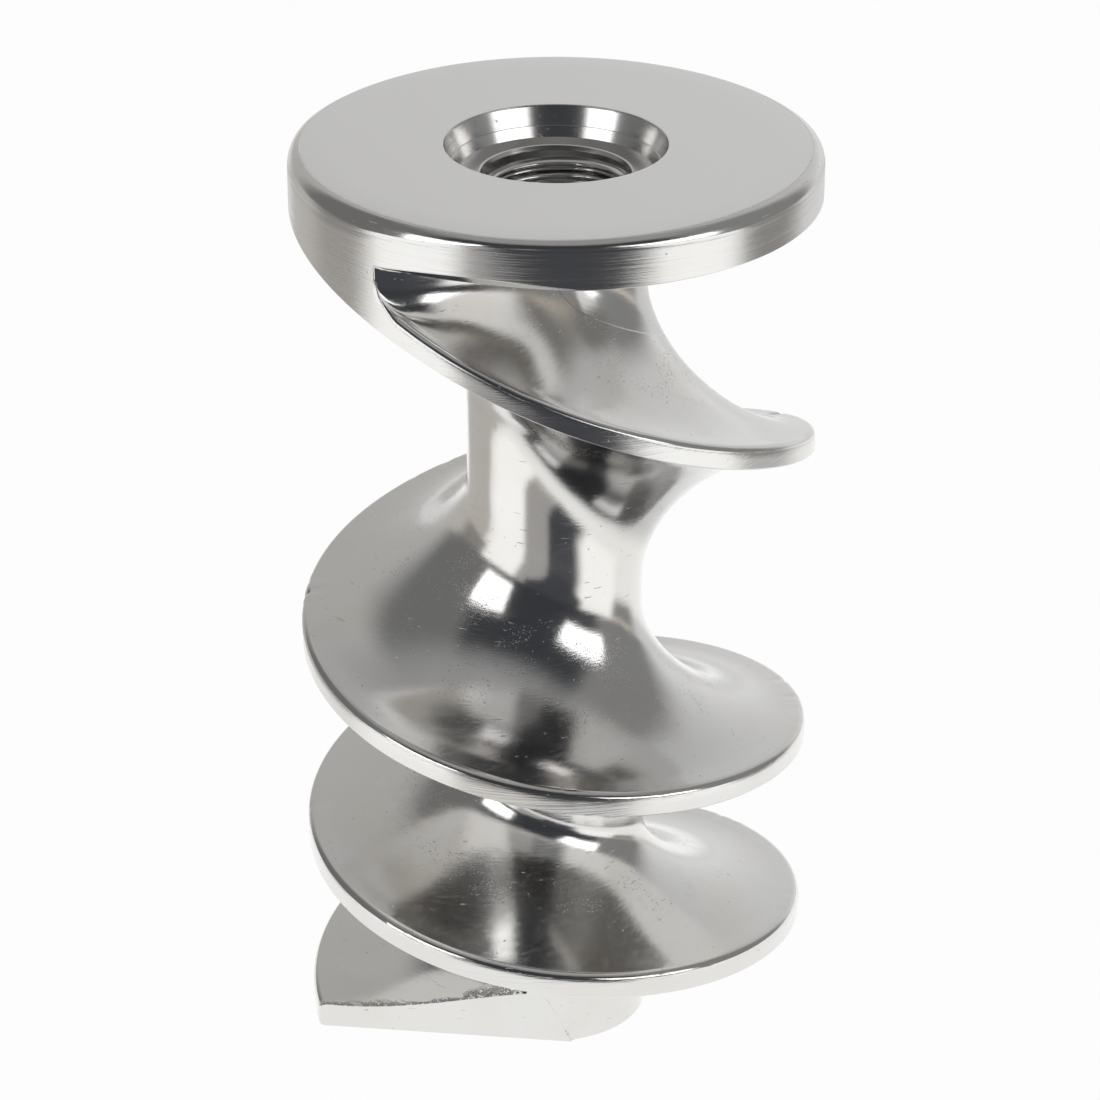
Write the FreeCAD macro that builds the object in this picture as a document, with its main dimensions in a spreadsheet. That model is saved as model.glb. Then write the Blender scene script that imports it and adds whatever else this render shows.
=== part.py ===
import FreeCAD, Part
import math
import os
import Sketcher

# Spiral dough feed worm, cast in one piece and turned on its rim.
# A round drive disc sits on top of a slim core, and one left hand flight runs out of the
# disc's underside and round the core down to a flat foot. The flight is steep at first and
# settles to an even pitch. The model stands on its foot: the origin is the centre of the
# foot, on the worm's axis, and Z points up to the disc. All lengths are millimetres.

NODE = "feed_worm"
FULL_TURN = 360.0
HALF_TURN = 180.0
HAIR = 0.01

doc = FreeCAD.newDocument("feed_worm_model")

# Driving dimensions
SIZES = [
    ("outer_radius", 29.0),
    ("worm_height", 108.7),
    ("disc_thickness", 5.3),
    ("disc_edge_round", 1.6),
    ("core_radius", 9.95),
    ("foot_radius", 10.85),
    ("taper_start_drop", 58.0),
    ("upper_recess_radius", 12.1),
    ("upper_recess_depth", 2.2),
    ("upper_recess_draft", 12.0),
    ("lower_recess_radius", 11.4),
    ("lower_recess_depth", 3.3),
    ("lower_recess_draft", 34.0),
    ("thread_bore_radius", 7.19),
    ("thread_bore_depth", 26.0),
    ("thread_chamfer", 1.0),
    ("groove_tip_azimuth", 229.5),
    ("groove_tip_closing", 6.0),
    ("groove_run_in", 55.0),
    ("rim_drop_at_tip", 9.3),
    ("rim_drop_at_70", 24.0),
    ("rim_drop_at_130", 33.3),
    ("rim_drop_at_220", 46.7),
    ("rim_drop_at_310", 55.9),
    ("rim_drop_at_400", 63.8),
    ("rim_drop_at_490", 69.35),
    ("rim_drop_at_670", 81.8),
    ("rim_drop_at_850", 92.9),
    ("rim_drop_at_1045", 105.6),
    ("rim_thickness_first", 2.6),
    ("rim_thickness_last", 3.0),
    ("rim_lip_round", 0.75),
    ("disc_blend", 11.0),
    ("disc_root_height", 7.0),
    ("first_root_height", 19.2),
    ("last_root_height", 11.4),
    ("tail_azimuth", 263.5),
]

# Turning angles, in degrees from the groove's tip, at which the rim's level is given
STATIONS = [
    (0.0, "rim_drop_at_tip"),
    (70.0, "rim_drop_at_70"),
    (130.0, "rim_drop_at_130"),
    (220.0, "rim_drop_at_220"),
    (310.0, "rim_drop_at_310"),
    (400.0, "rim_drop_at_400"),
    (490.0, "rim_drop_at_490"),
    (670.0, "rim_drop_at_670"),
    (850.0, "rim_drop_at_850"),
    (1045.0, "rim_drop_at_1045"),
]
TAIL_ANGLE = 1045.0
TAIL_FACE_SPAN = 69.0

sheet = doc.addObject("Spreadsheet::Sheet", "Sizes")
for row, (alias, value) in enumerate(SIZES, start=1):
    sheet.set("A%d" % row, alias)
    sheet.set("B%d" % row, str(value))
    sheet.setAlias("B%d" % row, alias)
doc.recompute()


def size(alias):
    return float(sheet.get(alias))


# Blank: a full round bar with the disc's rounded edge and the stepped, tapered seat in front of
# the bore that takes the thread

def origin_plane(body, role):
    for feature in body.Origin.OriginFeatures:
        if feature.Role == role:
            return feature


def circle_sketch(body, name, radius_alias, level):
    sketch = body.newObject("Sketcher::SketchObject", name)
    sketch.AttachmentSupport = (origin_plane(body, "XY_Plane"), [""])
    sketch.MapMode = "FlatFace"
    sketch.setExpression("AttachmentOffset.Base.z", level)
    centre = FreeCAD.Vector(0, 0, 0)
    up = FreeCAD.Vector(0, 0, 1)
    ring = sketch.addGeometry(Part.Circle(centre, up, size(radius_alias)), False)
    sketch.addConstraint(Sketcher.Constraint("Coincident", ring, 3, -1, 1))
    radius = sketch.addConstraint(Sketcher.Constraint("Radius", ring, size(radius_alias)))
    sketch.setExpression("Constraints[%d]" % radius, "Sizes." + radius_alias)
    return sketch


def recess(body, name, radius_alias, level, depth):
    sketch = circle_sketch(body, name + "Circle", radius_alias, level)
    pocket = body.newObject("PartDesign::Pocket", name)
    pocket.Profile = sketch
    pocket.setExpression("Length", depth)
    return pocket


def round_edges(shape, level, radius):
    names = []
    for index, edge in enumerate(shape.Edges, start=1):
        if isinstance(edge.Curve, Part.Circle):
            same_level = abs(edge.Curve.Center.z - level) < HAIR
            if same_level and abs(edge.Curve.Radius - radius) < HAIR:
                names.append("Edge%d" % index)
    return names


blank = doc.addObject("PartDesign::Body", "Blank")

bar = blank.newObject("PartDesign::Pad", "Bar")
bar.Profile = circle_sketch(blank, "BarCircle", "outer_radius", "0")
bar.setExpression("Length", "Sizes.worm_height")
doc.recompute()

disc_edge = blank.newObject("PartDesign::Fillet", "DiscEdge")
disc_edge.Base = (bar, round_edges(bar.Shape, size("worm_height"), size("outer_radius")))
disc_edge.setExpression("Radius", "Sizes.disc_edge_round")
doc.recompute()

face = "Sizes.worm_height"
ledge = face + " - Sizes.upper_recess_depth"
ledge_to_floor = "Sizes.lower_recess_depth - Sizes.upper_recess_depth"
upper = recess(blank, "UpperRecess", "upper_recess_radius", face, "Sizes.upper_recess_depth")
upper.setExpression("TaperAngle", "-Sizes.upper_recess_draft")
lower = recess(blank, "LowerRecess", "lower_recess_radius", ledge, ledge_to_floor)
lower.setExpression("TaperAngle", "-Sizes.lower_recess_draft")
bore = recess(blank, "ThreadBore", "thread_bore_radius", face, "Sizes.thread_bore_depth")
doc.recompute()

floor_level = size("worm_height") - size("lower_recess_depth")
bore_mouth = blank.newObject("PartDesign::Chamfer", "BoreMouth")
bore_mouth.Base = (bore, round_edges(bore.Shape, floor_level, size("thread_bore_radius")))
bore_mouth.setExpression("Size", "Sizes.thread_chamfer")
blank.Tip = bore_mouth
doc.recompute()


# Levels of the flight, as drops below the disc's top face

def station_slopes():
    angles = [angle for angle, alias in STATIONS]
    drops = [size(alias) for angle, alias in STATIONS]
    steps = [b - a for a, b in zip(angles, angles[1:])]
    rates = [(b - a) / step for a, b, step in zip(drops, drops[1:], steps)]
    slopes = [0.0] * len(angles)
    for i in range(1, len(angles) - 1):
        before, after = steps[i - 1], steps[i]
        slopes[i] = (rates[i - 1] * after + rates[i] * before) / (before + after)
    slopes[0] = 1.5 * rates[0] - 0.5 * slopes[1]
    slopes[-1] = 1.5 * rates[-1] - 0.5 * slopes[-2]
    return angles, drops, slopes


ANGLES, DROPS, SLOPES = station_slopes()


def flight_top(angle):
    """Drop of the flight's upper rim edge: a smooth curve through the stations."""
    if angle <= ANGLES[0]:
        return DROPS[0] + SLOPES[0] * (angle - ANGLES[0])
    if angle >= ANGLES[-1]:
        return DROPS[-1] + SLOPES[-1] * (angle - ANGLES[-1])
    i = max(k for k in range(len(ANGLES) - 1) if ANGLES[k] <= angle)
    span = ANGLES[i + 1] - ANGLES[i]
    u = (angle - ANGLES[i]) / span
    start = (1 + 2 * u) * (1 - u) ** 2 * DROPS[i] + u * (1 - u) ** 2 * span * SLOPES[i]
    end = u * u * (3 - 2 * u) * DROPS[i + 1] + u * u * (u - 1) * span * SLOPES[i + 1]
    return start + end


def rim_thickness(angle):
    share = min(max(angle / TAIL_ANGLE, 0.0), 1.0)
    first = size("rim_thickness_first")
    return first + share * (size("rim_thickness_last") - first)


def flight_underside(angle):
    """Drop of the lower rim edge, which grows softly out of the disc's underside."""
    disc = size("disc_thickness")
    flight = flight_top(angle) + rim_thickness(angle)
    soft = max(size("disc_blend") - abs(disc - flight), 0.0)
    return max(disc, flight) + soft ** 2 / (4 * size("disc_blend"))


def core_growth(drop):
    """The core is straight at first and widens evenly down to the foot."""
    start = size("taper_start_drop")
    share = min(max((drop - start) / (size("worm_height") - start), 0.0), 1.0)
    return share * (size("foot_radius") - size("core_radius"))


def swept_point(angle, radius, drop):
    azimuth = math.radians(size("groove_tip_azimuth") + angle)
    height = size("worm_height") - drop
    return FreeCAD.Vector(radius * math.cos(azimuth), radius * math.sin(azimuth), height)


def root_height(angle):
    """Height of the flight's root fillet: small below the disc, tall on the steep turn."""
    first, last = size("first_root_height"), size("last_root_height")
    if angle <= 0:
        share = min(-angle / HALF_TURN, 1.0)
        return first + share * (size("disc_root_height") - first)
    share = min(angle / TAIL_ANGLE, 1.0)
    return first + share * (last - first)


# Groove: the space between the turns, swept round the axis as one tapering tool

TOOL_MARGIN = 0.8
LIP_SLOPE = math.radians(50)
SECTION_STEP = 9.3
ROOT_SPAN_COUNT = 8
LIP_SPAN_COUNT = 2
LEAST_OPENING_RATIO = 0.3
LEAST_REACH = 0.4
FILLET_ROOM_RATIO = 0.92
LIP_ROOM_RATIO = 0.3
ROOF_PULL_OUT_RATIO = 0.4
ROOF_PULL_UP_RATIO = 0.66
FLOOR_PULL_OUT_RATIO = 0.46
FLOOR_PULL_UP_RATIO = 0.5
TAIL_RUN_OUT = 0.4


def groove_floor(angle):
    """Drop of the groove's floor: the flight's top, then away below the foot."""
    beyond = max(angle - TAIL_ANGLE - TAIL_FACE_SPAN, 0.0)
    return flight_top(angle) + TAIL_RUN_OUT * beyond


def groove_section(angle):
    """Closed outline of the groove in the half plane at this turning angle."""
    rim = size("outer_radius")
    outside = rim + TOOL_MARGIN
    roof = flight_underside(angle - FULL_TURN)
    closing = min(angle / size("groove_tip_closing"), 1.0)
    opening = LEAST_OPENING_RATIO + (1 - LEAST_OPENING_RATIO) * math.sqrt(1 - (1 - closing) ** 2)
    floor = roof + opening * (groove_floor(angle) - roof)

    # The groove starts shallow at its tip and reaches the core after its run in
    run_in = math.sin(min(angle / size("groove_run_in"), 1.0) * math.pi / 2)
    depth = LEAST_REACH + run_in * (rim - size("core_radius") - LEAST_REACH)
    fillets = root_height(angle - FULL_TURN) + root_height(angle)
    fit = min(1.0, FILLET_ROOM_RATIO * (floor - roof) / fillets)
    roof_end = roof + fit * root_height(angle - FULL_TURN)
    floor_end = floor - fit * root_height(angle)
    roof_core = rim - depth + core_growth(roof_end)
    floor_core = rim - depth + core_growth(floor_end)

    # The rim's upper edge is rounded over as far as LIP_SLOPE
    lip = min(size("rim_lip_round"), LIP_ROOM_RATIO * depth)
    lip_start = rim - lip
    lip_end = lip_start + lip * math.sin(LIP_SLOPE)
    lip_drop = floor + lip * (1 - math.cos(LIP_SLOPE))
    lip_pull = lip * math.tan(LIP_SLOPE / 4) * 4 / 3
    outer_drop = lip_drop + (outside - lip_end) * math.tan(LIP_SLOPE)

    def at(radius, drop):
        return swept_point(angle, radius, drop)

    def line(start, end):
        return Part.makeLine(start, end)

    def curve(span_count, *poles):
        bezier = Part.BezierCurve()
        bezier.setPoles(list(poles))
        spline = bezier.toBSpline()
        for knot in range(1, span_count):
            spline.insertKnot(knot / span_count, 1)
        return spline.toShape()

    edges = [
        line(at(outside, outer_drop), at(outside, roof)),
        curve(
            ROOT_SPAN_COUNT,
            at(outside, roof),
            at(outside - ROOF_PULL_OUT_RATIO * (outside - roof_core), roof),
            at(roof_core, roof_end - ROOF_PULL_UP_RATIO * (roof_end - roof)),
            at(roof_core, roof_end),
        ),
        line(at(roof_core, roof_end), at(floor_core, floor_end)),
        curve(
            ROOT_SPAN_COUNT,
            at(floor_core, floor_end),
            at(floor_core, floor_end + FLOOR_PULL_UP_RATIO * (floor - floor_end)),
            at(lip_start - FLOOR_PULL_OUT_RATIO * (lip_start - floor_core), floor),
            at(lip_start, floor),
        ),
        curve(
            LIP_SPAN_COUNT,
            at(lip_start, floor),
            at(lip_start + lip_pull, floor),
            at(lip_end - lip_pull * math.cos(LIP_SLOPE), lip_drop - lip_pull * math.sin(LIP_SLOPE)),
            at(lip_end, lip_drop),
        ),
        line(at(lip_end, lip_drop), at(outside, outer_drop)),
    ]
    return Part.Wire(edges)


def groove_angles():
    closing = size("groove_tip_closing")
    angles = [0.0, 0.15 * closing, 0.5 * closing, closing]
    last = TAIL_ANGLE + FULL_TURN
    count = math.ceil((last - closing) / SECTION_STEP)
    angles += [closing + (last - closing) * k / count for k in range(1, count + 1)]
    return angles


groove = doc.addObject("Part::Feature", "Groove")
groove.Shape = Part.makeLoft([groove_section(angle) for angle in groove_angles()], True, False)

# Tail: the flight ends in one upright face that touches the foot's core

tail_cut = doc.addObject("Part::Box", "TailCut")
tail_cut.setExpression("Length", "2 * Sizes.outer_radius")
tail_cut.setExpression("Width", "3 * Sizes.outer_radius")
tail_roof = (flight_underside(TAIL_ANGLE - FULL_TURN) + flight_top(TAIL_ANGLE)) / 2
tail_cut.Height = size("worm_height") - tail_roof + TOOL_MARGIN
tail_turn = FreeCAD.Rotation(FreeCAD.Vector(0, 0, 1), size("tail_azimuth"))
tail_corner = FreeCAD.Vector(size("foot_radius"), -2 * size("outer_radius"), -TOOL_MARGIN)
tail_cut.Placement = FreeCAD.Placement(tail_turn.multVec(tail_corner), tail_turn)

cutters = doc.addObject("Part::MultiFuse", "Cutters")
cutters.Shapes = [groove, tail_cut]

worm = doc.addObject("Part::Cut", "FeedWorm")
worm.Label = NODE
worm.Base = blank
worm.Tool = cutters
doc.recompute()

# Every object must have worked before the file is written

for item in doc.Objects:
    if "Invalid" in item.State or "Error" in item.State:
        raise RuntimeError("failed object: " + item.Name)
if worm.Shape.isNull() or not worm.Shape.isValid() or len(worm.Shape.Solids) != 1:
    raise RuntimeError("the worm is not one valid solid")

os.makedirs("parts", exist_ok=True)
worm.Shape.exportStep("parts/" + NODE + ".step")
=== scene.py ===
import math

import bmesh
import bpy
from mathutils import Matrix, Vector, noise


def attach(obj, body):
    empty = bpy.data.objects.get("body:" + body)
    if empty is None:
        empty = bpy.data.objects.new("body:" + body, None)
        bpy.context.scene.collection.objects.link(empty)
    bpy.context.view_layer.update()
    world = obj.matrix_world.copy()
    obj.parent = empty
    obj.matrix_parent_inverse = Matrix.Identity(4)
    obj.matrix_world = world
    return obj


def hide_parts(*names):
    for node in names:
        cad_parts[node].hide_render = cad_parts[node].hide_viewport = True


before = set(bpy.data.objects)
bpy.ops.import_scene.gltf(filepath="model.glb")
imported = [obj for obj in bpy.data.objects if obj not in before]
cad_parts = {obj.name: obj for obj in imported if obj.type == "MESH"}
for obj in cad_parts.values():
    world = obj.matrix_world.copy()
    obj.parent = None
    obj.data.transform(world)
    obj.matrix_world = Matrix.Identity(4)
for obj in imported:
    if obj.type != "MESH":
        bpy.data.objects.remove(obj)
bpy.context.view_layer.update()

# Spiral feed worm: cast in one piece, turned on its rim, polished by hand.
# Lengths are millimetres unless a name says otherwise. Drops are measured down from the disc's
# top face, and turning angles run round the axis from the tip of the groove, in degrees.

MM = 0.001
FULL_TURN = 360.0
HALF_TURN = 180.0


# Camera, standing where the photograph was taken from. Its place and reach are in metres.

LENS = 118.89
SENSOR_WIDTH = 36.0
CAMERA_PLACE = (0.0, -0.36916, 0.24542)
CAMERA_REACH = (0.01, 50.0)
CAMERA_PITCH = 26.724
CAMERA_YAW = -0.094
CAMERA_ROLL = 0.062


def make_camera():
    """The camera looks down at the worm from the front, with the axis nearly in the middle."""
    camera = bpy.data.objects.new("camera", bpy.data.cameras.new("camera"))
    bpy.context.collection.objects.link(camera)
    camera.data.sensor_width = SENSOR_WIDTH
    camera.data.lens = LENS
    camera.data.clip_start, camera.data.clip_end = CAMERA_REACH
    turn = Matrix.Rotation(math.radians(-CAMERA_YAW), 4, "Z")
    tip = Matrix.Rotation(math.radians(90 - CAMERA_PITCH), 4, "X")
    roll = Matrix.Rotation(math.radians(CAMERA_ROLL), 4, "Z")
    camera.matrix_world = Matrix.Translation(CAMERA_PLACE) @ turn @ tip @ roll
    bpy.context.scene.camera = camera


# Worm's driving sizes. The recess walls, the rim's lip and the flat end of the flight differ a
# little from those of the part's solid.

RIM = 29.0
WORM_HEIGHT = 108.7
DISC_THICKNESS = 5.3
EDGE_ROUND = 1.6
CORE = 9.95
FOOT = 10.85
TAPER_START = 58.0
UPPER_RECESS = 12.1
UPPER_RECESS_FOOT = 11.38
UPPER_DEPTH = 2.15
LOWER_RECESS = 11.2
LOWER_RECESS_FOOT = 10.72
LOWER_DEPTH = 3.3
TIP_AZIMUTH = 229.5
TIP_CLOSING = 6.0
RUN_IN = 55.0
STATIONS = (0.0, 70.0, 130.0, 220.0, 310.0, 400.0, 490.0, 670.0, 850.0, 1045.0)
RIM_DROPS = (9.3, 24.0, 33.3, 46.7, 55.9, 63.8, 69.35, 81.8, 92.9, 105.6)
RIM_FIRST = 2.6
RIM_LAST = 3.0
LIP = 0.95
DISC_BLEND = 11.0
DISC_ROOT = 7.0
FIRST_ROOT = 19.2
LAST_ROOT = 11.4
TAIL_ANGLE = 1045.0
TAIL_SPAN = 69.0
TAIL_AZIMUTH = 263.5
TAIL_CORNER = 0.6
TAIL_CORNER_POINTS = 5
TAIL_FADE = 5.0
TAIL_LEAN = 2.5
ROOF_PULL_OUT = 0.4
ROOF_PULL_UP = 0.66
FLOOR_PULL_OUT = 0.46
FLOOR_PULL_UP = 0.5
FILLET_ROOM = 0.92
TOOL_MARGIN = 0.8
LEAST_OPENING = 0.3
LEAST_DEPTH = 0.001
SHALLOW_SHARE = 0.3
TAIL_RUN_OUT = 0.4

# How finely the coil is laid. The four distances that tell vertices apart are in metres.

STEPS_ROUND = 300
STEP = FULL_TURN / STEPS_ROUND
SWEEP = 1416.0
ROOF_POINTS = 18
CORE_POINTS = 7
FLOOR_POINTS = 18
LIP_POINTS = 6
RIM_POINTS = 3
HALVINGS = 30
WORM_MERGE = 2e-7
THREAD_MERGE = 1e-7
CUT_WIDTH = 1e-7
SAME_PLACE = 1e-6
WORM_CREASE = 32.0
THREAD_CREASE = 60.0

# Hand finish: the disc's upper edge is rounded more in some places than in others, each with
# its azimuth, reach in degrees, extra width and extra depth. The lower rim edges are only
# broken, but near the groove's tip a flat is ground. The upper rim edges have a few nicks.

EDGE_POINTS = 10
EDGE_LEAST = (1.1, 1.2)
EDGE_MORE = (
    (212.0, 55.0, 0.7, 1.7),
    (325.0, 55.0, 0.7, 0.9),
    (30.0, 60.0, 0.7, 0.4),
    (150.0, 60.0, 0.7, 0.4),
)
BROKEN_EDGE = 0.12
TIP_FLAT = 0.9
TIP_FLAT_FROM = 2.0
TIP_FLAT_TO = 46.0
NICK_DEPTH = 1.28
NICK_INWARD = 0.5
NICK_DOWNWARD = 0.7
NICKS_PER_DEGREE = 0.45
NICKS_FROM = 0.28
NICK_GROUPS_PER_DEGREE = 0.035
NICK_GROUPS_FROM = -0.1


def rim_slopes():
    """Slope of the rim at each station, from the stretches on both sides of it."""
    spans = [b - a for a, b in zip(STATIONS, STATIONS[1:])]
    rates = [(b - a) / span for a, b, span in zip(RIM_DROPS, RIM_DROPS[1:], spans)]
    slopes = [0.0] * len(STATIONS)
    for i in range(1, len(STATIONS) - 1):
        before, after = spans[i - 1], spans[i]
        slopes[i] = (rates[i - 1] * after + rates[i] * before) / (before + after)
    slopes[0] = 1.5 * rates[0] - 0.5 * slopes[1]
    slopes[-1] = 1.5 * rates[-1] - 0.5 * slopes[-2]
    return slopes


RIM_SLOPES = rim_slopes()


def flight_top(angle):
    """Drop of the flight's upper rim edge: a smooth curve through the stations."""
    if angle <= STATIONS[0]:
        return RIM_DROPS[0] + RIM_SLOPES[0] * (angle - STATIONS[0])
    if angle >= STATIONS[-1]:
        return RIM_DROPS[-1] + RIM_SLOPES[-1] * (angle - STATIONS[-1])
    i = max(k for k in range(len(STATIONS) - 1) if STATIONS[k] <= angle)
    span = STATIONS[i + 1] - STATIONS[i]
    u = (angle - STATIONS[i]) / span
    start = (1 + 2 * u) * (1 - u) ** 2 * RIM_DROPS[i] + u * (1 - u) ** 2 * span * RIM_SLOPES[i]
    end = u * u * (3 - 2 * u) * RIM_DROPS[i + 1] + u * u * (u - 1) * span * RIM_SLOPES[i + 1]
    return start + end


def flight_underside(angle):
    """Drop of the lower rim edge, which grows softly out of the disc's underside."""
    share = min(max(angle / TAIL_ANGLE, 0.0), 1.0)
    flight = flight_top(angle) + RIM_FIRST + share * (RIM_LAST - RIM_FIRST)
    soft = max(DISC_BLEND - abs(DISC_THICKNESS - flight), 0.0)
    return max(DISC_THICKNESS, flight) + soft ** 2 / (4 * DISC_BLEND)


def core_growth(drop):
    """The core is straight at first and widens evenly down to the foot."""
    share = min(max((drop - TAPER_START) / (WORM_HEIGHT - TAPER_START), 0.0), 1.0)
    return share * (FOOT - CORE)


def root_height(angle):
    """How far the root fillet reaches along the core at this turn."""
    if angle <= 0:
        share = min(-angle / HALF_TURN, 1.0)
        return FIRST_ROOT + share * (DISC_ROOT - FIRST_ROOT)
    share = min(angle / TAIL_ANGLE, 1.0)
    return FIRST_ROOT + share * (LAST_ROOT - FIRST_ROOT)


def groove_floor(angle):
    """Drop of the groove's floor at the rim, which falls away once the flight has ended."""
    beyond = max(angle - TAIL_ANGLE - TAIL_SPAN, 0.0)
    return flight_top(angle) + TAIL_RUN_OUT * beyond


def groove_depth(angle):
    """The groove starts at nothing at its tip and reaches the core after its run in."""
    return max(math.sin(min(angle / RUN_IN, 1.0) * math.pi / 2) * (RIM - CORE), LEAST_DEPTH)


def edge_flat(angle):
    """Width of the flat under the rim at this turn of the groove's roof."""
    share = (angle - TIP_FLAT_FROM) / (TIP_FLAT_TO - TIP_FLAT_FROM)
    ground = TIP_FLAT * math.sin(math.pi * share) if 0 < share < 1 else 0.0
    return min(BROKEN_EDGE + ground, SHALLOW_SHARE * groove_depth(angle))


def bend(poles, t):
    """Point of the cubic curve that has these four poles."""
    weights = ((1 - t) ** 3, 3 * t * (1 - t) ** 2, 3 * t * t * (1 - t), t ** 3)
    return tuple(sum(w * pole[i] for w, pole in zip(weights, poles)) for i in range(2))


def roof_entry(poles, radius):
    """Where the roof's curve, which starts outside the rim, has come in to this radius."""
    low, high = 0.0, 1.0
    for _ in range(HALVINGS):
        middle = (low + high) / 2
        if bend(poles, middle)[0] > radius:
            low = middle
        else:
            high = middle
    return high


def section(angle):
    """Outline of the groove and of the rim below it, as pairs of radius and drop."""
    roof = flight_underside(angle - FULL_TURN)
    closing = min(angle / TIP_CLOSING, 1.0)
    opening = LEAST_OPENING + (1 - LEAST_OPENING) * math.sqrt(1 - (1 - closing) ** 2)
    floor = roof + opening * (groove_floor(angle) - roof)
    depth = groove_depth(angle)
    flat = edge_flat(angle)
    lip = min(LIP, SHALLOW_SHARE * depth)
    fillets = root_height(angle - FULL_TURN) + root_height(angle)
    fit = min(1.0, FILLET_ROOM * (floor - roof) / fillets)
    roof_end = roof + fit * root_height(angle - FULL_TURN)
    floor_end = floor - fit * root_height(angle)
    roof_core = RIM - depth + core_growth(roof_end)
    floor_core = RIM - depth + core_growth(floor_end)
    outside = RIM + TOOL_MARGIN * depth / (RIM - CORE)

    points = [(RIM, roof - flat)]
    roof_poles = (
        (outside, roof),
        (outside - ROOF_PULL_OUT * (outside - roof_core), roof),
        (roof_core, roof_end - ROOF_PULL_UP * (roof_end - roof)),
        (roof_core, roof_end),
    )
    entry = roof_entry(roof_poles, RIM - flat)
    for k in range(ROOF_POINTS + 1):
        points.append(bend(roof_poles, entry + (1 - entry) * k / ROOF_POINTS))
    for k in range(1, CORE_POINTS):
        share = k / CORE_POINTS
        radius = roof_core + share * (floor_core - roof_core)
        points.append((radius, roof_end + share * (floor_end - roof_end)))
    floor_poles = (
        (floor_core, floor_end),
        (floor_core, floor_end + FLOOR_PULL_UP * (floor - floor_end)),
        (RIM - lip - FLOOR_PULL_OUT * (RIM - lip - floor_core), floor),
        (RIM - lip, floor),
    )
    for k in range(FLOOR_POINTS + 1):
        points.append(bend(floor_poles, k / FLOOR_POINTS))
    for k in range(1, LIP_POINTS + 1):
        turn = math.pi / 2 * k / LIP_POINTS
        points.append((RIM - lip + lip * math.sin(turn), floor + lip * (1 - math.cos(turn))))
    rim_top = floor + lip
    rim_bottom = flight_underside(angle) - edge_flat(angle + FULL_TURN)
    for k in range(1, RIM_POINTS + 1):
        points.append((RIM, rim_top + (rim_bottom - rim_top) * k / RIM_POINTS))
    return points


PLACES = len(section(0.0))
LIP_PLACES = range(PLACES - RIM_POINTS - LIP_POINTS - 1, PLACES - RIM_POINTS)


def at(angle, radius, drop):
    """A point in metres, with its height over the foot."""
    azimuth = math.radians(TIP_AZIMUTH + angle)
    height = WORM_HEIGHT - drop
    return Vector((radius * math.cos(azimuth), radius * math.sin(azimuth), height)) * MM


def nick(angle):
    """How deep the upper rim edge is knocked in at this turn: mostly nothing."""
    knock = noise.noise(Vector((angle * NICKS_PER_DEGREE, 3.7, 0.0)))
    group = noise.noise(Vector((angle * NICK_GROUPS_PER_DEGREE, 9.1, 0.0)))
    return NICK_DEPTH * max(knock - NICKS_FROM, 0.0) * max(group - NICK_GROUPS_FROM, 0.0)


def wind(bm, sections, step, closed=False):
    """A flat grid wound down round the axis, one column of it laid on each section."""
    places = len(sections[0])
    rows = places if closed else places - 1
    made = bmesh.ops.create_grid(bm, x_segments=len(sections) - 1, y_segments=rows, size=1.0)
    columns = [[None] * (rows + 1) for _ in sections]
    for vert in made["verts"]:
        column = round((vert.co.x + 1) / 2 * (len(sections) - 1))
        place = round((vert.co.y + 1) / 2 * rows)
        vert.co = at(column * step, *sections[column][place % places])
        columns[column][place] = vert
    return columns


def make_coil(bm):
    """The grooves and rims, from the groove's tip to below the foot."""
    steps = math.ceil(SWEEP / STEP)
    sections = []
    for k in range(steps + 1):
        points = section(k * STEP)
        knock = nick(k * STEP)
        for place in LIP_PLACES:
            radius, drop = points[place]
            points[place] = (radius - NICK_INWARD * knock, drop + NICK_DOWNWARD * knock)
        sections.append(points)
    return wind(bm, sections, STEP)


# Bore and thread. The thread's shape is pairs of a share of its width and a share of its height:
# it has a main crest and a lesser one beside it.

THREAD_ROOT = 8.05
THREAD_BEHIND = 0.15
THREAD_CREST = 7.19
THREAD_PITCH = 1.5
THREAD_WIDTH = 1.47
THREAD_TURNS = 13
THREAD_STEPS_ROUND = 72
THREAD_LEAD_IN = 0.6
THREAD_SHAPE = (
    (0.0, 0.0),
    (0.08, 0.55),
    (0.14, 0.86),
    (0.26, 0.96),
    (0.34, 1.0),
    (0.4, 0.93),
    (0.46, 0.6),
    (0.52, 0.5),
    (0.58, 0.72),
    (0.7, 0.84),
    (0.77, 0.88),
    (0.83, 0.8),
    (0.92, 0.3),
    (1.0, 0.0),
)
MOUTH = 8.19
MOUTH_FOOT = 7.95
MOUTH_DEPTH = 3.75
BORE_DEPTH = 26.0
BORE_CONE = 1.0
BORE_RINGS = (9.0, 17.0)
FACE_RINGS = (24.0, 18.0)
EASED = 0.1
WALL_SHARES = (0.0, 0.08, 0.92, 1.0)


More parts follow.
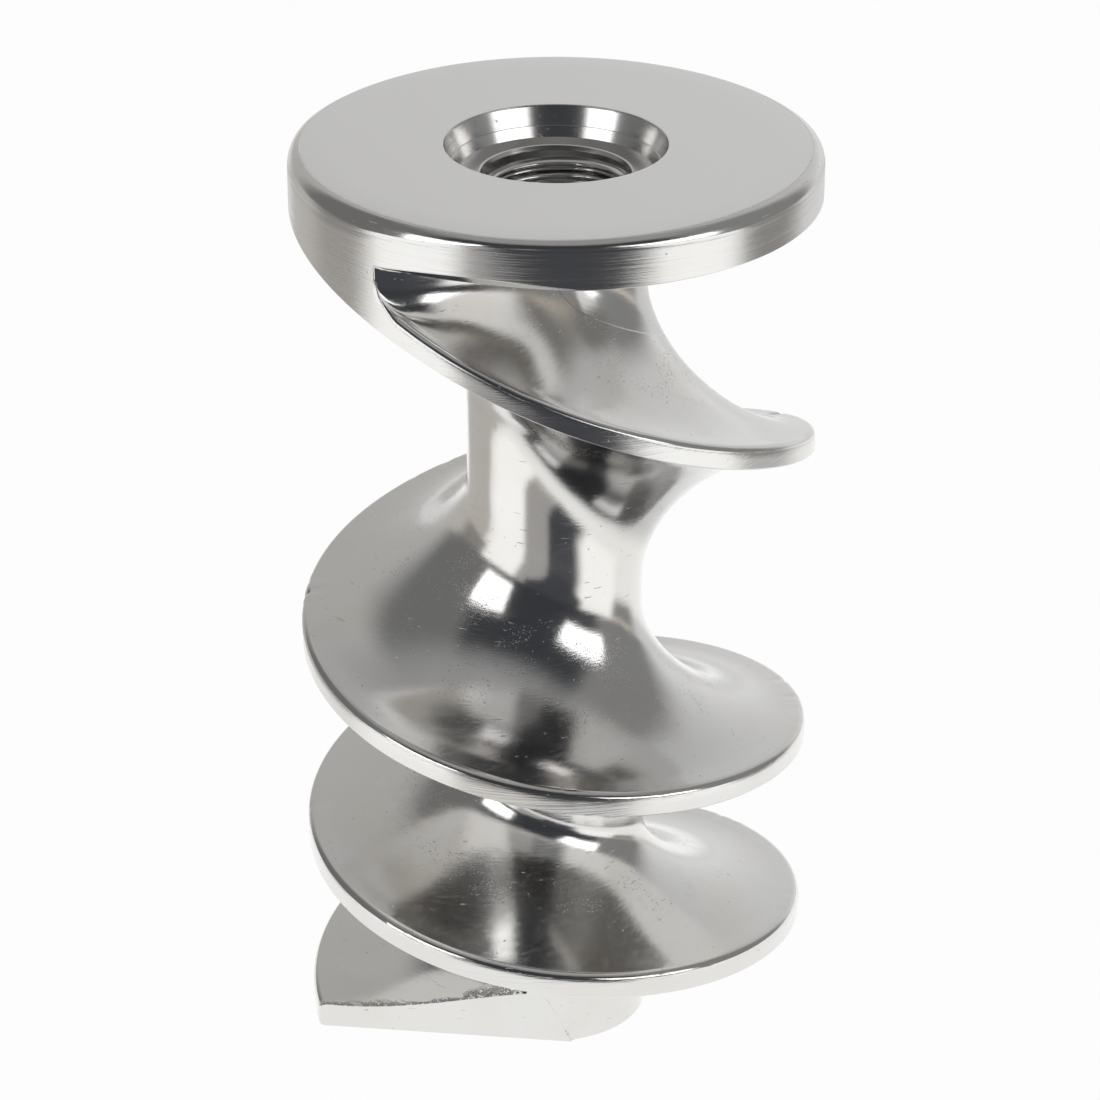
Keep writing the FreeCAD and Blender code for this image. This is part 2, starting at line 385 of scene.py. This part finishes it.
def disc_profile():
    """The disc's edge, face, stepped recess and bore, from the rim inwards."""
    profile = [(RIM, EDGE_ROUND)]
    for k in range(1, EDGE_POINTS + 1):
        turn = math.pi / 2 * k / EDGE_POINTS
        inward = EDGE_ROUND * (1 - math.cos(turn))
        profile.append((RIM - inward, EDGE_ROUND * (1 - math.sin(turn))))
    profile += [(radius, 0.0) for radius in FACE_RINGS + (UPPER_RECESS + EASED,)]
    profile += wall((UPPER_RECESS, EASED), (UPPER_RECESS_FOOT, UPPER_DEPTH))
    profile += wall((LOWER_RECESS, UPPER_DEPTH), (LOWER_RECESS_FOOT, LOWER_DEPTH))
    profile += wall((LOWER_RECESS_FOOT - EASED, LOWER_DEPTH), (MOUTH + EASED, LOWER_DEPTH))
    profile += wall((MOUTH, LOWER_DEPTH + EASED / 2), (MOUTH_FOOT, MOUTH_DEPTH))
    bore = (MOUTH_DEPTH + EASED,) + BORE_RINGS + (BORE_DEPTH - BORE_CONE,)
    profile += [(THREAD_ROOT, drop) for drop in bore]
    return profile + [(THREAD_ROOT - BORE_CONE, BORE_DEPTH)]


def wall(start, end):
    """A straight stretch of the profile, with a short piece at each end that keeps it flat."""
    return [tuple(a + share * (b - a) for a, b in zip(start, end)) for share in WALL_SHARES]


def make_disc(bm):
    """The disc's profile spun once round the axis, with the bore's end closed."""
    ring = [bm.verts.new(at(0.0, radius, drop)) for radius, drop in disc_profile()]
    edges = [bm.edges.new(pair) for pair in zip(ring, ring[1:])]
    bmesh.ops.spin(
        bm,
        geom=ring + edges,
        cent=(0, 0, 0),
        axis=(0, 0, 1),
        angle=math.tau,
        steps=STEPS_ROUND,
        use_merge=True,
        use_duplicate=False,
    )
    half_way = (WORM_HEIGHT - BORE_DEPTH / 2) * MM
    bore_end = [edge for edge in bm.edges if edge.is_boundary and edge.verts[0].co.z < half_way]
    bmesh.ops.holes_fill(bm, edges=bore_end, sides=0)

    # The even edge is drawn out to the width and depth that it has been rounded to
    for vert in bm.verts:
        inward = RIM - vert.co.xy.length / MM
        drop = WORM_HEIGHT - vert.co.z / MM
        if max(inward, drop) < EDGE_ROUND + SAME_PLACE / MM:
            wide, deep = edge_size(math.degrees(math.atan2(vert.co.y, vert.co.x)))
            vert.co.z = (WORM_HEIGHT - drop / EDGE_ROUND * deep) * MM
            new_radius = (RIM - inward / EDGE_ROUND * wide) * MM
            vert.co.xy = vert.co.xy.normalized() * new_radius


def edge_size(azimuth):
    """How wide and how deep the disc's edge has been rounded by hand at this azimuth."""
    wide, deep = EDGE_LEAST
    for middle, reach, wider, deeper in EDGE_MORE:
        away = (azimuth - middle + HALF_TURN) % FULL_TURN - HALF_TURN
        share = math.cos(math.pi / 2 * min(abs(away) / reach, 1.0)) ** 2
        wide += share * wider
        deep += share * deeper
    return wide, deep


def make_band(bm, coil):
    """The disc's outer band, down to the first turn of the groove and round its tip."""
    band = []
    for k in range(STEPS_ROUND):
        _, deep = edge_size(TIP_AZIMUTH + k * STEP)
        band.append(bm.verts.new(at(k * STEP, RIM, deep)))
    for k in range(STEPS_ROUND - 1):
        bm.faces.new((band[k], band[k + 1], coil[k + 1][0], coil[k][0]))
    last = [coil[STEPS_ROUND][0], coil[STEPS_ROUND - 1][0]]
    bm.faces.new([band[-1], band[0]] + coil[0][:-1] + last)


def cut_foot(bm):
    """The foot is faced off flat."""
    everything = bm.verts[:] + bm.edges[:] + bm.faces[:]
    bmesh.ops.bisect_plane(
        bm,
        geom=everything,
        dist=CUT_WIDTH,
        plane_co=(0, 0, 0),
        plane_no=(0, 0, -1),
        clear_outer=True,
    )
    close_holes(bm)


def close_holes(bm):
    """Every open rim gets a face, and all faces look outwards."""
    bmesh.ops.holes_fill(bm, edges=[edge for edge in bm.edges if edge.is_boundary], sides=0)
    bmesh.ops.recalc_face_normals(bm, faces=bm.faces)


def make_object(name, bm):
    """An object in the scene that holds the finished mesh."""
    mesh = bpy.data.meshes.new(name)
    bm.to_mesh(mesh)
    bm.free()
    made = bpy.data.objects.new(name, mesh)
    bpy.context.collection.objects.link(made)
    return made


def tail_block():
    """The metal that is missing behind the flight's flat end, with the end's corner eased."""
    roof = (flight_underside(TAIL_ANGLE - FULL_TURN) + flight_top(TAIL_ANGLE)) / 2
    height = WORM_HEIGHT - roof + TOOL_MARGIN

    # The block's inner corner lies on the rim, and from there its side follows the rim's tangent
    corner = -math.sqrt(RIM ** 2 - FOOT ** 2)
    slant = 2 * RIM
    bm = bmesh.new()
    outline = (
        (FOOT, RIM),
        (3 * RIM, RIM),
        (3 * RIM, corner - slant),
        (FOOT + corner / RIM * slant, corner - FOOT / RIM * slant),
        (FOOT, corner),
    )
    base = [bm.verts.new(Vector((out, along, -TOOL_MARGIN)) * MM) for out, along in outline]
    risen = bmesh.ops.extrude_face_region(bm, geom=[bm.faces.new(base)])["geom"]
    risen = [item for item in risen if isinstance(item, bmesh.types.BMVert)]
    bmesh.ops.translate(bm, vec=Vector((0, 0, height)) * MM, verts=risen)
    everything = bm.verts[:] + bm.edges[:] + bm.faces[:]
    level = Vector((0, 0, height - TOOL_MARGIN - TAIL_FADE)) * MM
    bmesh.ops.bisect_plane(
        bm, geom=everything, dist=CUT_WIDTH, plane_co=level, plane_no=(0, 0, 1)
    )
    inner = Vector((FOOT, corner)) * MM
    corners = [
        edge
        for edge in bm.edges
        if all((vert.co.xy - inner).length < SAME_PLACE for vert in edge.verts)
    ]
    bmesh.ops.bevel(
        bm,
        geom=corners,
        offset=TAIL_CORNER * MM,
        segments=TAIL_CORNER_POINTS,
        profile=0.5,
        affect="EDGES",
        material=-1,
    )

    # Above the level, the flat end leans outwards and so fades out
    upper = [vert for vert in bm.verts if vert.co.z > level.z + MM]
    bmesh.ops.translate(bm, vec=Vector((TAIL_LEAN, 0, 0)) * MM, verts=upper)
    turn = Matrix.Rotation(math.radians(TAIL_AZIMUTH), 3, "Z")
    bmesh.ops.rotate(bm, matrix=turn, cent=(0, 0, 0), verts=bm.verts)
    bmesh.ops.recalc_face_normals(bm, faces=bm.faces)
    return make_object("tail_block", bm)


def cut_away(piece, block):
    """Take the block out of the piece for good."""
    cut = piece.modifiers.new("cut", "BOOLEAN")
    cut.operation = "DIFFERENCE"
    cut.solver = "EXACT"
    cut.object = block
    seen = piece.evaluated_get(bpy.context.evaluated_depsgraph_get())
    mesh = bpy.data.meshes.new_from_object(seen)
    piece.modifiers.clear()
    piece.data = mesh
    mesh.name = piece.name
    bpy.data.objects.remove(block)


def shade(piece, sharp_from):
    """Smooth surfaces, with sharp edges where faces meet at this angle or more."""
    for polygon in piece.data.polygons:
        polygon.use_smooth = True
    piece.data.set_sharp_from_angle(angle=math.radians(sharp_from))


def make_worm():
    """Disc, core and flight as one closed mesh."""
    bm = bmesh.new()
    make_disc(bm)
    coil = make_coil(bm)
    make_band(bm, coil)
    bmesh.ops.remove_doubles(bm, verts=bm.verts, dist=WORM_MERGE)
    cut_foot(bm)
    worm = make_object("worm", bm)
    cut_away(worm, tail_block())
    shade(worm, WORM_CREASE)
    return worm


def make_thread():
    """The fine thread in the bore: one ridge wound down the wall, cut back at the mouth."""
    behind = THREAD_ROOT + THREAD_BEHIND
    sections = []
    for k in range(THREAD_TURNS * THREAD_STEPS_ROUND + 1):
        drop = MOUTH_DEPTH + THREAD_PITCH * k / THREAD_STEPS_ROUND
        ridge = [(behind, drop)]
        for share, height in THREAD_SHAPE:
            level = drop + THREAD_WIDTH * share
            crest = max(THREAD_CREST, MOUTH_FOOT - THREAD_LEAD_IN * (level - MOUTH_DEPTH))
            ridge.append((THREAD_ROOT - height * (THREAD_ROOT - crest), level))
        sections.append(ridge + [(behind, drop + THREAD_WIDTH)])
    bm = bmesh.new()
    wind(bm, sections, FULL_TURN / THREAD_STEPS_ROUND, closed=True)
    bmesh.ops.remove_doubles(bm, verts=bm.verts, dist=THREAD_MERGE)
    close_holes(bm)
    thread = make_object("bore_thread", bm)
    shade(thread, THREAD_CREASE)
    return thread


# Materials


class Value:
    """A number or colour on its way through a material's nodes."""

    def __init__(self, nodes, socket):
        self.nodes = nodes
        self.socket = socket

    def maths(self, operation, *numbers):
        return self.nodes.add("ShaderNodeMath", {"operation": operation}, numbers)

    def __add__(self, other):
        return self.maths("ADD", self, other)

    def __sub__(self, other):
        return self.maths("SUBTRACT", self, other)

    def __rsub__(self, other):
        return self.maths("SUBTRACT", other, self)

    def __mul__(self, other):
        return self.maths("MULTIPLY", self, other)

    def __truediv__(self, other):
        return self.maths("DIVIDE", self, other)

    def __rtruediv__(self, other):
        return self.maths("DIVIDE", other, self)

    def __abs__(self):
        return self.maths("ABSOLUTE", self)

    __radd__ = __add__
    __rmul__ = __mul__

    def step(self, low, high):
        """Nothing below low, one above high, and a soft rise between; low may be the higher."""
        settings = {"interpolation_type": "SMOOTHSTEP"}
        if low > high:
            return 1 - self.step(high, low)
        return self.nodes.add("ShaderNodeMapRange", settings, (self, low, high, 0.0, 1.0))


class Nodes:
    """The nodes of one material or of the world."""

    def __init__(self, tree):
        tree.nodes.clear()
        self.tree = tree

    def add(self, kind, settings, sockets, output=0):
        """A node with its settings and all that goes in; what comes back is one of its outputs."""
        node = self.tree.nodes.new(kind)
        for name, value in settings.items():
            setattr(node, name, value)
        if not isinstance(sockets, dict):
            sockets = dict(enumerate(sockets))
        for name, value in sockets.items():
            if isinstance(value, Value):
                self.tree.links.new(value.socket, node.inputs[name])
            else:
                node.inputs[name].default_value = value
        return Value(self, node.outputs[output]) if node.outputs else None

    def place(self):
        """Object coordinates, in millimetres."""
        coordinates = self.add("ShaderNodeTexCoord", {}, {}, "Object")
        return self.scaled(coordinates, (1 / MM, 1 / MM, 1 / MM))

    def scaled(self, vector, scale):
        """The vector with each coordinate multiplied by its own number."""
        return self.add("ShaderNodeVectorMath", {"operation": "MULTIPLY"}, (vector, scale))

    def parts(self, vector):
        """The three coordinates of a vector."""
        split = self.add("ShaderNodeSeparateXYZ", {}, (vector,))
        return [Value(self, socket) for socket in split.socket.node.outputs]

    def speckle(self, vector, scale, detail, roughness):
        """Cloudy spots, about half on average; in place's coordinates scale is per millimetre."""
        sockets = {"Vector": vector, "Scale": scale, "Detail": detail, "Roughness": roughness}
        return self.add("ShaderNodeTexNoise", {}, sockets)

    def lines(self, vector, stretch, detail, roughness):
        """Spots drawn out into lines: stretch is small along the lines and large across them."""
        return self.speckle(self.scaled(vector, stretch), 1.0, detail, roughness)

    def blend(self, share, first, second):
        """The first colour where share is nothing and the second where it is one."""
        return self.add("ShaderNodeMix", {"data_type": "RGBA"}, {0: share, 6: first, 7: second}, 2)

    def bump(self, height, distance, under=None):
        """A normal that follows this height, as much as distance in metres for a height of one."""
        sockets = {"Height": height, "Distance": distance}
        if under:
            sockets["Normal"] = under
        return self.add("ShaderNodeBump", {}, sockets)

    def finish(self, shader, kind="ShaderNodeOutputMaterial"):
        self.add(kind, {}, {0: shader})


def new_material(name):
    material = bpy.data.materials.new(name)
    material.use_nodes = True
    return material, Nodes(material.node_tree)


BRIGHT_STEEL = (0.68, 0.675, 0.665, 1)
WARM_STEEL = (0.67, 0.645, 0.61, 1)
TURNED_STEEL = (0.78, 0.775, 0.77, 1)
# Painted shade: this darker colour is laid on the undersides of the upper turns
UNDERSIDE_SHADE = (0.42, 0.415, 0.41, 1)
# Painted shade: this near-black colour darkens pits, specks and crumbs
SMALL_MARK_SHADE = (0.16, 0.155, 0.15, 1)
CUT_DARK = (0.62, 0.61, 0.595, 1)
CUT_LIGHT = (0.76, 0.75, 0.735, 1)

# Where each kind of surface begins: pairs of radii, drops or normals that it fades in between

RIM_RADII = (28.88, 28.97)
FACE_DROPS = (0.06, 0.02)
FACE_RADII = (12.0, 12.2)
SOCKET_DROPS = (30.0, 28.0)
SOCKET_RADII = (12.2, 12.1)
ROOT_RADII = (23.0, 17.0)
CORE_RADII = (10.2, 11.5)
ROOT_DROPS = (100.0, 96.0)
UNDER_NORMALS = (-0.15, -0.4)
UPPER_NORMALS = (0.2, 0.6)
CRUMB_DROPS = (99.0, 101.0)
DENTED_DROPS = (55.0, 40.0)
LOW_DROPS = (56.0, 62.0)
SQUARE_RADII = (18.5, 15.0)
# Where the painted shade on the undersides begins
UNDERSIDE_SHADE_DROPS = (12.0, 18.0)

# Patterns of the finish: their scale or stretch, detail and roughness, and for those that are
# marks here and there, the two levels that a mark fades in between

RIM_LINES = ((0.05, 0.05, 7.0), 3.0, 0.6)
FACE_LINES = (1.0, 3.0, 0.6)
FACE_LINES_PER_MM = 5.0
STROKES = ((0.5, 0.5, 6.0), 4.0, 0.7)
SCRATCHES = ((0.4, 0.4, 6.0), 1.0, 0.5)
SCRATCH_LEVELS = (0.76, 0.79)
CUT_LINES = ((0.3, 0.3, 9.0), 2.0, 0.6)
WAVES = (0.12, 1.0, 0.5)
CLOUDS = (0.09, 3.0, 0.55)
CLOUD_LEVELS = (0.42, 0.66)
CLUSTERS = (0.22, 2.0, 0.6)
CLUSTER_LEVELS = (0.42, 0.6)
GRIT = (4.5, 2.0, 0.7)
PIT_LEVELS = (0.6, 0.68)
PIT_CLUSTER_LEVELS = (0.5, 0.64)
SPECKS = (2.2, 1.0, 0.5)
SPECK_LEVELS = (0.76, 0.8)
CRUMBS = (2.4, 2.0, 0.7)
CRUMB_LEVELS = (0.42, 0.56)
CRUMB_REACH = 0.35
CRUMB_REACH_MORE = 0.9

# Relief of the surfaces, in metres, and how far the lower undersides lean out when mirroring

FINE_RELIEF = 0.00003
WAVY_RELIEF = 0.00006
CUT_RELIEF = 0.00002
SQUARE_LEAN = (0.2128, 0.076, 0.0)


def cast_polish():
    """Cast steel polished by hand, with turned rims and face and casting pits near the roots."""
    material, nodes = new_material("cast_polish")
    place = nodes.place()
    x, y, z = nodes.parts(place)
    flat = nodes.scaled(place, (1, 1, 0))
    radius = nodes.add("ShaderNodeVectorMath", {"operation": "LENGTH"}, (flat,), "Value")
    drop = WORM_HEIGHT - z

    # Which surface a point is on
    rim = radius.step(*RIM_RADII)
    face = drop.step(*FACE_DROPS) * radius.step(*FACE_RADII)
    socket = drop.step(*SOCKET_DROPS) * radius.step(*SOCKET_RADII)
    channel = (1 - rim) * (1 - face) * (1 - socket)
    root = radius.step(*ROOT_RADII) * radius.step(*CORE_RADII) * drop.step(*ROOT_DROPS) * channel
    facing = nodes.add("ShaderNodeTexCoord", {}, {}, "Normal")
    upward = nodes.parts(facing)[2]
    under = upward.step(*UNDER_NORMALS) * channel
    low = drop.step(*LOW_DROPS)

    # Turned lines, polishing strokes, waves of the casting and pits
    rings = nodes.lines(place, *RIM_LINES)
    circle = nodes.add("ShaderNodeCombineXYZ", {}, (radius * FACE_LINES_PER_MM, 0.0, 0.0))
    face_rings = nodes.speckle(circle, *FACE_LINES)
    strokes = nodes.lines(place, *STROKES)
    waves = nodes.speckle(place, *WAVES)
    grit = nodes.speckle(place, *GRIT)
    clusters = nodes.speckle(place, *CLUSTERS)
    clustered = clusters.step(*CLUSTER_LEVELS)
    pits = grit.step(*PIT_LEVELS) * clusters.step(*PIT_CLUSTER_LEVELS) * root
    specks = nodes.speckle(place, *SPECKS).step(*SPECK_LEVELS) * (1 - face)
    scratches = nodes.lines(place, *SCRATCHES).step(*SCRATCH_LEVELS) * channel

    # Crumbs of metal left along the upper edge of the flight's flat end
    end = math.radians(TAIL_AZIMUTH)
    beyond = x * math.cos(end) + y * math.sin(end) - FOOT
    ragged = CRUMB_REACH + CRUMB_REACH_MORE * clustered
    edge = (abs(beyond) / ragged).step(1.0, 0.2) * drop.step(*CRUMB_DROPS)
    edge = edge * upward.step(*UPPER_NORMALS)
    crumbs = nodes.speckle(place, *CRUMBS).step(*CRUMB_LEVELS) * edge

    height = (
        rings * rim * 0.8
        + face_rings * face * 0.12
        + face_rings * socket * 0.3
        + strokes * channel * 0.2
        + grit * channel * 0.08
        + grit * root * clustered * 0.2
        + crumbs * 4.0
        - pits * 0.35
        - specks * 0.5
        - scratches * 0.8
    )
    dents = waves * channel * (1 + 1.5 * drop.step(*DENTED_DROPS))

    # The lower undersides mirror as if they met the core more squarely than their mesh does
    outward = nodes.scaled(place, SQUARE_LEAN)
    square = under * radius.step(*SQUARE_RADII) * low
    tilt = nodes.add("ShaderNodeVectorMath", {"operation": "SCALE"}, {0: outward, "Scale": square})
    steep = nodes.add("ShaderNodeVectorMath", {"operation": "ADD"}, (facing, tilt))
    steep = nodes.add("ShaderNodeVectorMath", {"operation": "NORMALIZE"}, (steep,))
    fine = nodes.bump(height, FINE_RELIEF, under=steep)
    normal = nodes.bump(dents, WAVY_RELIEF, under=fine)

    clouds = nodes.speckle(place, *CLOUDS).step(*CLOUD_LEVELS)
    colour = nodes.blend(clouds * 0.6, BRIGHT_STEEL, WARM_STEEL)
    colour = nodes.blend(face, colour, TURNED_STEEL)
    # Painted shade: the undersides of the upper turns are darkened
    colour = nodes.blend(under * drop.step(*UNDERSIDE_SHADE_DROPS) * (1 - low), colour, UNDERSIDE_SHADE)
    # Painted shade: pits, specks and crumbs are darkened
    colour = nodes.blend(pits * 0.8 + specks * 0.4 + crumbs * 0.5, colour, SMALL_MARK_SHADE)
    roughness = (
        0.12
        + 0.19 * face
        + 0.07 * socket
        + 0.06 * under * low
        + rim * (0.03 + rings.step(0.4, 0.7) * 0.1)
        + channel * strokes.step(0.45, 0.8) * 0.1
        + (pits + crumbs + scratches) * 0.3
    )
    shader = nodes.add(
        "ShaderNodeBsdfPrincipled",
        {},
        {"Base Color": colour, "Metallic": 1.0, "Roughness": roughness, "Normal": normal},
    )
    nodes.finish(shader)
    return material


def cut_steel():
    """Freshly cut thread, a little duller than the polished surfaces."""
    material, nodes = new_material("cut_steel")
    place = nodes.place()
    lines = nodes.lines(place, *CUT_LINES)
    shader = nodes.add(
        "ShaderNodeBsdfPrincipled",
        {},
        {
            "Base Color": nodes.blend(lines, CUT_DARK, CUT_LIGHT),
            "Metallic": 1.0,
            "Roughness": 0.1 + 0.1 * lines,
            "Normal": nodes.bump(lines, CUT_RELIEF),
        },
    )
    nodes.finish(shader)
    return material


# Studio: a white tent that is open in front, with one soft lamp on each side of the opening.
# The table looks white all over, but the worm mirrors light and dark zones in it, which stand
# for what lay outside the picture. Distances in the studio are in metres.

TENT_TOP = (0.38, 0.38, 0.38, 1)
TENT_LEFT = (0.54, 0.535, 0.52, 1)
TENT_BACK = 0.9
TENT_BACK_FALL = 0.48
TENT_SIDE = 0.2
TENT_SIDE_RISE = 0.08
OPENING_DARK = (0.05, 0.053, 0.06, 1)
TABLE_WHITE = (1.14, 1.14, 1.13, 1)
TABLE_LIT = (1.32, 1.32, 1.31, 1)
TABLE_BACK = (0.8, 0.8, 0.8, 1)
TABLE_LEFT = (0.6, 0.58, 0.55, 1)
TABLE_SIDE = (0.32, 0.31, 0.3, 1)
FAR_RIGHT = (1.0, 0.9, 0.78, 1)
TABLE_HALF = (0.46, 0.45, 0.44, 1)
TABLE_DARK = (0.07, 0.073, 0.083, 1)
WHITE = (1, 1, 1, 1)
PAPER = (0.9, 0.9, 0.9, 1)
TABLE_RADIUS = 2.5
TABLE_SIDES = 96
TABLE_GLOW = 0.97
AXIS_MARGIN = 0.0001
LAMP_AIM = (0, 0, 0.05)


def across(nodes, vector):
    """Cosine and sine of the bearing from the camera's side, distance from the axis, height."""
    x, y, z = nodes.parts(vector)
    flat = nodes.scaled(vector, (1, 1, 0))
    reach = nodes.add("ShaderNodeVectorMath", {"operation": "LENGTH"}, (flat,), "Value")
    away = reach + AXIS_MARGIN
    return 0 - y / away, x / away, reach, z


def make_world():
    """The tent: a bright back wall, darker sides, a grey top and the dark opening in front."""
    world = bpy.data.worlds.new("tent")
    world.use_nodes = True
    bpy.context.scene.world = world
    nodes = Nodes(world.node_tree)
    direction = nodes.add("ShaderNodeTexCoord", {}, {}, "Generated")
    ahead, sideways, _, up = across(nodes, direction)
    back = nodes.blend(sideways.step(-0.5, 0.15), TENT_LEFT, TENT_BACK - TENT_BACK_FALL * up)
    side = TENT_SIDE + TENT_SIDE_RISE * sideways.step(-0.3, 0.3)
    colour = nodes.blend(ahead.step(-0.5, -0.8), side, back)
    colour = nodes.blend(ahead.step(0.3, 0.6), colour, OPENING_DARK)
    colour = nodes.blend(up.step(0.75, 0.95), colour, TENT_TOP)
    path = nodes.add("ShaderNodeLightPath", {}, {}, "Is Camera Ray")
    colour = nodes.blend(path, colour, WHITE)
    nodes.finish(nodes.add("ShaderNodeBackground", {}, (colour, 1.0)), "ShaderNodeOutputWorld")


def make_floor():
    """The white table; its mirrored zones are laid one over the other, the last one on top."""
    bm = bmesh.new()
    bmesh.ops.create_circle(bm, cap_ends=True, segments=TABLE_SIDES, radius=TABLE_RADIUS)
    floor = make_object("floor", bm)
    material, nodes = new_material("pale_floor")
    coordinates = nodes.add("ShaderNodeTexCoord", {}, {}, "Object")
    ahead, sideways, reach, _ = across(nodes, coordinates)
    behind = ahead.step(-0.3, -0.6)
    left = ahead.step(0.08, -0.08) * sideways.step(-0.4, -0.6)
    beside = (1 - behind) * ahead.step(0.4, 0.1)
    right = beside * sideways.step(0.0, 0.3)
    front = ahead.step(0.05, 0.25) * reach.step(0.098, 0.108)
    half = sideways.step(-0.68, -0.58) * sideways.step(0.6, 0.42)
    spread = reach.step(0.14, 0.36)
    dark = (sideways + 0.3 * spread).step(-0.2, -0.1) * (sideways - 0.2 * spread).step(0.5, 0.36)
    zones = (
        (behind * reach.step(0.14, 0.3), TABLE_BACK),
        (left * reach.step(0.1, 0.13), TABLE_LEFT),
        (beside * reach.step(0.2, 0.32), TABLE_SIDE),
        (right * reach.step(0.13, 0.22), TABLE_SIDE),
        (right * reach.step(0.5, 1.4), FAR_RIGHT),
        (front, TABLE_LIT),
        (front * half, TABLE_HALF),
        (front * dark, TABLE_DARK),
    )
    mirrored = TABLE_WHITE
    for share, colour in zones:
        mirrored = nodes.blend(share, mirrored, colour)
    glossy = nodes.add("ShaderNodeLightPath", {}, {}, "Is Glossy Ray")
    camera = nodes.add("ShaderNodeLightPath", {}, {}, "Is Camera Ray")
    glow = nodes.add("ShaderNodeEmission", {}, (nodes.blend(glossy, WHITE, mirrored), 1.0))
    paper = nodes.add("ShaderNodeBsdfDiffuse", {}, (PAPER,))
    glowing = glossy + camera * TABLE_GLOW
    nodes.finish(nodes.add("ShaderNodeMixShader", {}, (glowing, paper, glow)))
    floor.data.materials.append(material)


def soft_lamp(name, bearing, height, distance, width, tall, strength):
    """A lamp on a stand, aimed at the worm; its bearing is measured from the camera's side."""
    light = bpy.data.lights.new(name, "AREA")
    light.shape = "RECTANGLE"
    light.size = width
    light.size_y = tall
    light.energy = strength * math.pi * width * tall
    lamp = bpy.data.objects.new(name, light)
    bpy.context.collection.objects.link(lamp)
    turn, rise = math.radians(bearing), math.radians(height)
    out = Vector((math.sin(turn) * math.cos(rise), -math.cos(turn) * math.cos(rise), math.sin(rise)))
    lamp.location = out * distance + Vector(LAMP_AIM)
    lamp.rotation_euler = (-out).to_track_quat("-Z", "Y").to_euler()


make_camera()

worm = make_worm()
worm.data.materials.append(cast_polish())
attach(worm, "root")
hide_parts("feed_worm")

thread = make_thread()
thread.data.materials.append(cut_steel())
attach(thread, "root")

make_world()
make_floor()
soft_lamp("right_lamp", 51.0, 25.0, 0.8, 0.58, 0.25, 2.2)
soft_lamp("left_lamp", -50.0, 19.0, 0.8, 0.45, 0.35, 2.2)

bpy.context.scene.view_settings.view_transform = "Standard"
